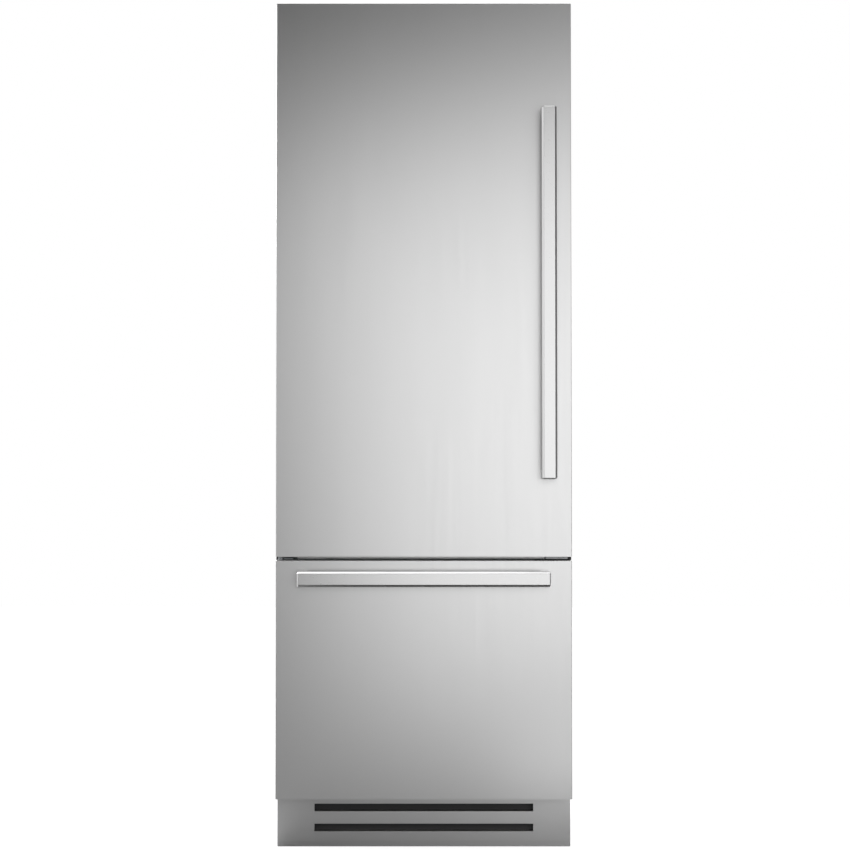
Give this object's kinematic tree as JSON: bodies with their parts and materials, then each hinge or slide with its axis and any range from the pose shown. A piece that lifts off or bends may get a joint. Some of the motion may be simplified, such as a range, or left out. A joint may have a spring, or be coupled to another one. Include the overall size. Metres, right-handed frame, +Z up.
{
  "type": "refrigerator",
  "caption": "Tall built-in refrigerator with a hinged stainless door over a pull-out freezer drawer, bar handles, a slotted toe panel and full interior fittings.",
  "frame": {"origin": "on the floor under the centre of the whole body's box", "axes": "+Z up, the door's face towards -Y, +X to the right seen from the front"},
  "size_m": [0.744, 0.691, 2.134],
  "materials": {
    "brushed_stainless": "brushed",
    "handle_stainless": "fine brushed",
    "coated_steel": "satin painted",
    "galvanised_steel": "zinc coated",
    "hinge_steel": "satin",
    "zinc_steel": "zinc plated",
    "black_steel": "gloss painted",
    "satin_aluminium": "satin anodised",
    "raw_aluminium": "mill",
    "copper": "drawn",
    "foam": "foamed",
    "white_liner": "satin",
    "white_plastic": "moulded",
    "light_diffuser": "frosted",
    "clear_plastic": "clear",
    "grey_plastic": "moulded",
    "dark_plastic": "fine textured",
    "dark_gloss_plastic": "gloss",
    "black_plastic": "moulded",
    "shelf_glass": "polished",
    "gasket_rubber": "matt",
    "roller_rubber": "matt"
  },
  "bodies": {
    "cabinet": {"outer_casing": "coated_steel", "rear_panel": "galvanised_steel", "front_frame": "coated_steel", "machine_bay_deck": "galvanised_steel", "base_frame": "galvanised_steel", "fridge_insulation": "foam", "freezer_insulation": "foam", "fridge_liner": "white_liner", "freezer_liner": "white_liner", "shelf_frames": "satin_aluminium", "shelf_glass": "shelf_glass", "crisper_cover": "satin_aluminium", "air_duct": "white_plastic", "side_lights": "light_diffuser", "control_panel": "dark_gloss_plastic", "upper_hinge": "hinge_steel", "centre_hinge": "hinge_steel", "centre_trim_cap": "grey_plastic", "freezer_rear_cover": "white_plastic", "evaporator": "raw_aluminium", "evaporator_fan_motor": "black_plastic", "slide_cabinet_members": "zinc_steel", "compressor": "black_steel", "condenser": "raw_aluminium", "condenser_fan_housing": "black_plastic", "drip_tray": "black_plastic", "control_board_box": "grey_plastic", "refrigerant_pipes": "copper", "toe_grille": "brushed_stainless", "anti_tip_bracket": "zinc_steel"},
    "door": {"door_skin": "brushed_stainless", "door_insulation": "foam", "door_liner": "white_liner", "door_gasket": "gasket_rubber", "door_end_caps": "dark_plastic", "door_handle": "handle_stainless", "door_bin_1": "clear_plastic", "door_bin_2": "clear_plastic", "door_bin_3": "clear_plastic", "dairy_box": "white_plastic"},
    "drawer": {"drawer_skin": "brushed_stainless", "drawer_insulation": "foam", "drawer_liner": "white_liner", "drawer_gasket": "gasket_rubber", "drawer_end_caps": "dark_plastic", "drawer_handle": "handle_stainless", "slide_drawer_members": "zinc_steel", "freezer_basket": "clear_plastic"},
    "slide_middles": {"slide_middle_members": "zinc_steel"},
    "upper_tray": {"freezer_tray": "clear_plastic"},
    "left_crisper": {"crisper_left": "clear_plastic"},
    "right_crisper": {"crisper_right": "clear_plastic"},
    "dairy_flap": {"dairy_lid": "clear_plastic"},
    "evaporator_blades": {"evaporator_fan": "black_plastic"},
    "condenser_blades": {"condenser_fan": "black_plastic"},
    "left_foot": {"foot_left": "zinc_steel"},
    "right_foot": {"foot_right": "zinc_steel"},
    "left_roller": {"roller_left": "roller_rubber"},
    "right_roller": {"roller_right": "roller_rubber"}
  },
  "joints": [
    {"name": "door_hinge", "type": "hinge", "parent": "cabinet", "child": "door", "pos_m": [-0.36, -0.2715, 0.7355], "axis": [0, 0, -1], "range_deg": [0, 115]},
    {"name": "drawer_slide", "type": "slide", "parent": "cabinet", "child": "drawer", "axis": [0, -1, 0], "range_m": [0, 0.38]},
    {"name": "slide_middles_travel", "type": "slide", "parent": "cabinet", "child": "slide_middles", "axis": [0, -1, 0], "range_m": [0, 0.19]},
    {"name": "upper_tray_travel", "type": "slide", "parent": "cabinet", "child": "upper_tray", "axis": [0, -1, 0], "range_m": [0, 0.228]},
    {"name": "left_crisper_travel", "type": "slide", "parent": "cabinet", "child": "left_crisper", "axis": [0, -1, 0], "range_m": [0, 0.22]},
    {"name": "right_crisper_travel", "type": "slide", "parent": "cabinet", "child": "right_crisper", "axis": [0, -1, 0], "range_m": [0, 0.22]},
    {"name": "dairy_lid_hinge", "type": "hinge", "parent": "door", "child": "dairy_flap", "pos_m": [0, -0.1335, 1.994], "axis": [1, 0, 0], "range_deg": [0, 78]},
    {"name": "evaporator_fan_spin", "type": "hinge", "parent": "cabinet", "child": "evaporator_blades", "pos_m": [0, 0.2255, 0.61275], "axis": [0, 1, 0], "continuous": true},
    {"name": "condenser_fan_spin", "type": "hinge", "parent": "cabinet", "child": "condenser_blades", "pos_m": [-0.224, 0.019, 0.118], "axis": [0, 1, 0], "continuous": true},
    {"name": "left_foot_turn", "type": "hinge", "parent": "cabinet", "child": "left_foot", "pos_m": [-0.309, -0.146, 0], "axis": [0, 0, 1], "continuous": true},
    {"name": "right_foot_turn", "type": "hinge", "parent": "cabinet", "child": "right_foot", "pos_m": [0.309, -0.146, 0], "axis": [0, 0, 1], "continuous": true},
    {"name": "left_roller_spin", "type": "hinge", "parent": "cabinet", "child": "left_roller", "pos_m": [-0.299, 0.2755, 0.018], "axis": [1, 0, 0], "continuous": true},
    {"name": "right_roller_spin", "type": "hinge", "parent": "cabinet", "child": "right_roller", "pos_m": [0.299, 0.2755, 0.018], "axis": [1, 0, 0], "continuous": true}
  ],
  "couplings": [
    {"joint": "slide_middles_travel", "follows": "drawer_slide", "ratio": 0.5},
    {"joint": "upper_tray_travel", "follows": "drawer_slide", "ratio": 0.6},
    {"joint": "left_crisper_travel", "follows": "door_hinge", "m_per_rad": 0.1096},
    {"joint": "right_crisper_travel", "follows": "door_hinge", "m_per_rad": 0.1096}
  ]
}
